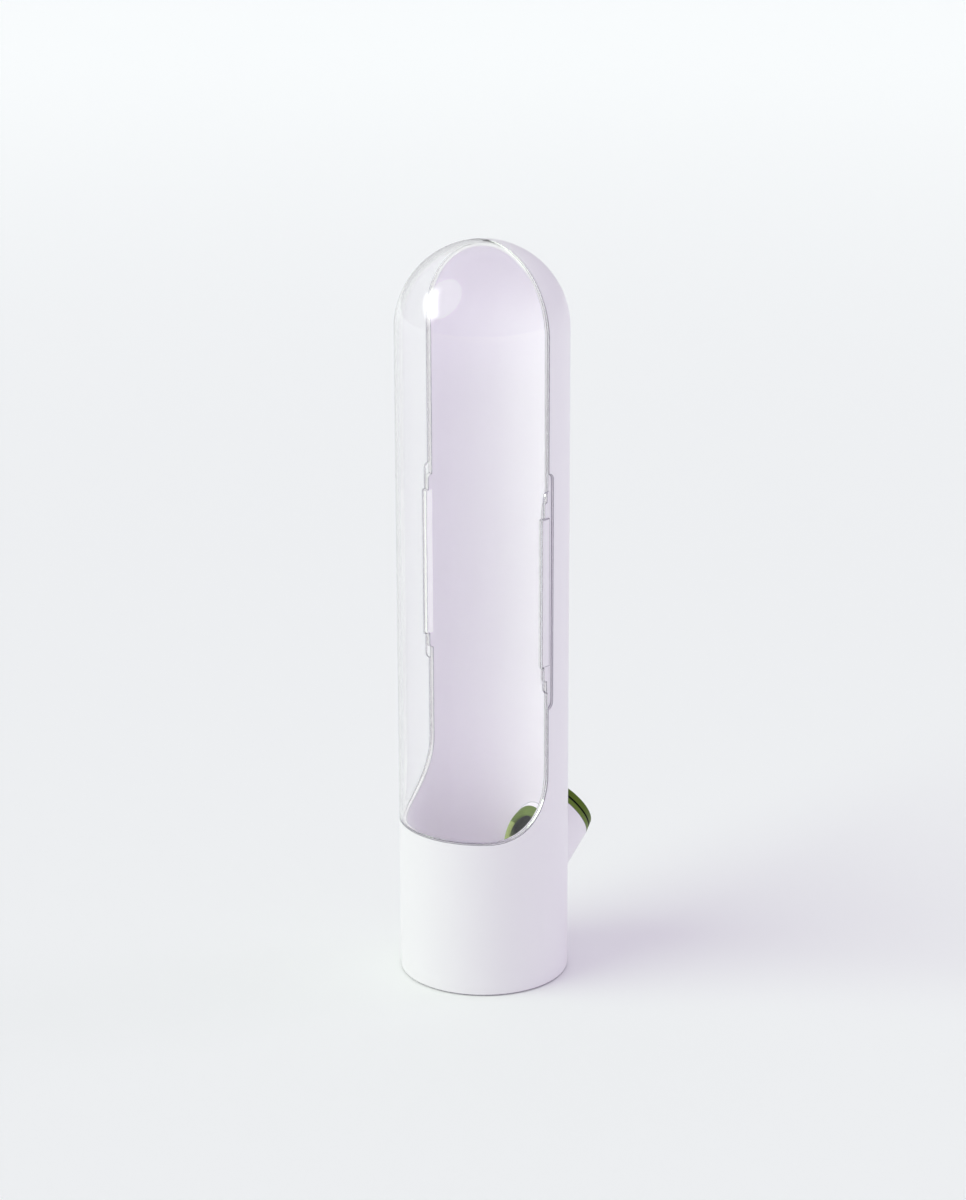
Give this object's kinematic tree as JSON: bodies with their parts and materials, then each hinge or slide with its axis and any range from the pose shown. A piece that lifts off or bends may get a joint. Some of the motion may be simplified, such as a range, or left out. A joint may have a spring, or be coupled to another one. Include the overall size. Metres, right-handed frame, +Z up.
{
  "type": "herb keeper",
  "caption": "Tall capsule for keeping cut herbs in water: white shell with reservoir, clear pull-off front, and a slanted rear filling spout with a green plug.",
  "frame": {"origin": "centre of the round base, on the surface that the keeper stands on", "axes": "+Z up along the capsule; the clear front faces -Y; the filling spout points to +Y"},
  "size_m": [0.064, 0.0836, 0.281],
  "materials": {
    "white_shell": "satin moulded",
    "white_plate": "satin moulded",
    "clear_front": "clear polished plastic",
    "green_sleeve": "soft satin silicone",
    "green_plug": "soft satin silicone"
  },
  "bodies": {
    "keeper": {"body_shell": "white_shell", "base_plate": "white_plate", "spout_sleeve": "green_sleeve"},
    "front": {"clear_front": "clear_front"},
    "plug": {"spout_plug": "green_plug"}
  },
  "joints": [
    {"name": "front_pull_off", "type": "slide", "parent": "keeper", "child": "front", "axis": [0, -1, 0], "range_m": [0, 0.075]},
    {"name": "plug_pull_out", "type": "slide", "parent": "keeper", "child": "plug", "axis": [0, 0.8387, 0.5446], "range_m": [0, 0.03]}
  ]
}
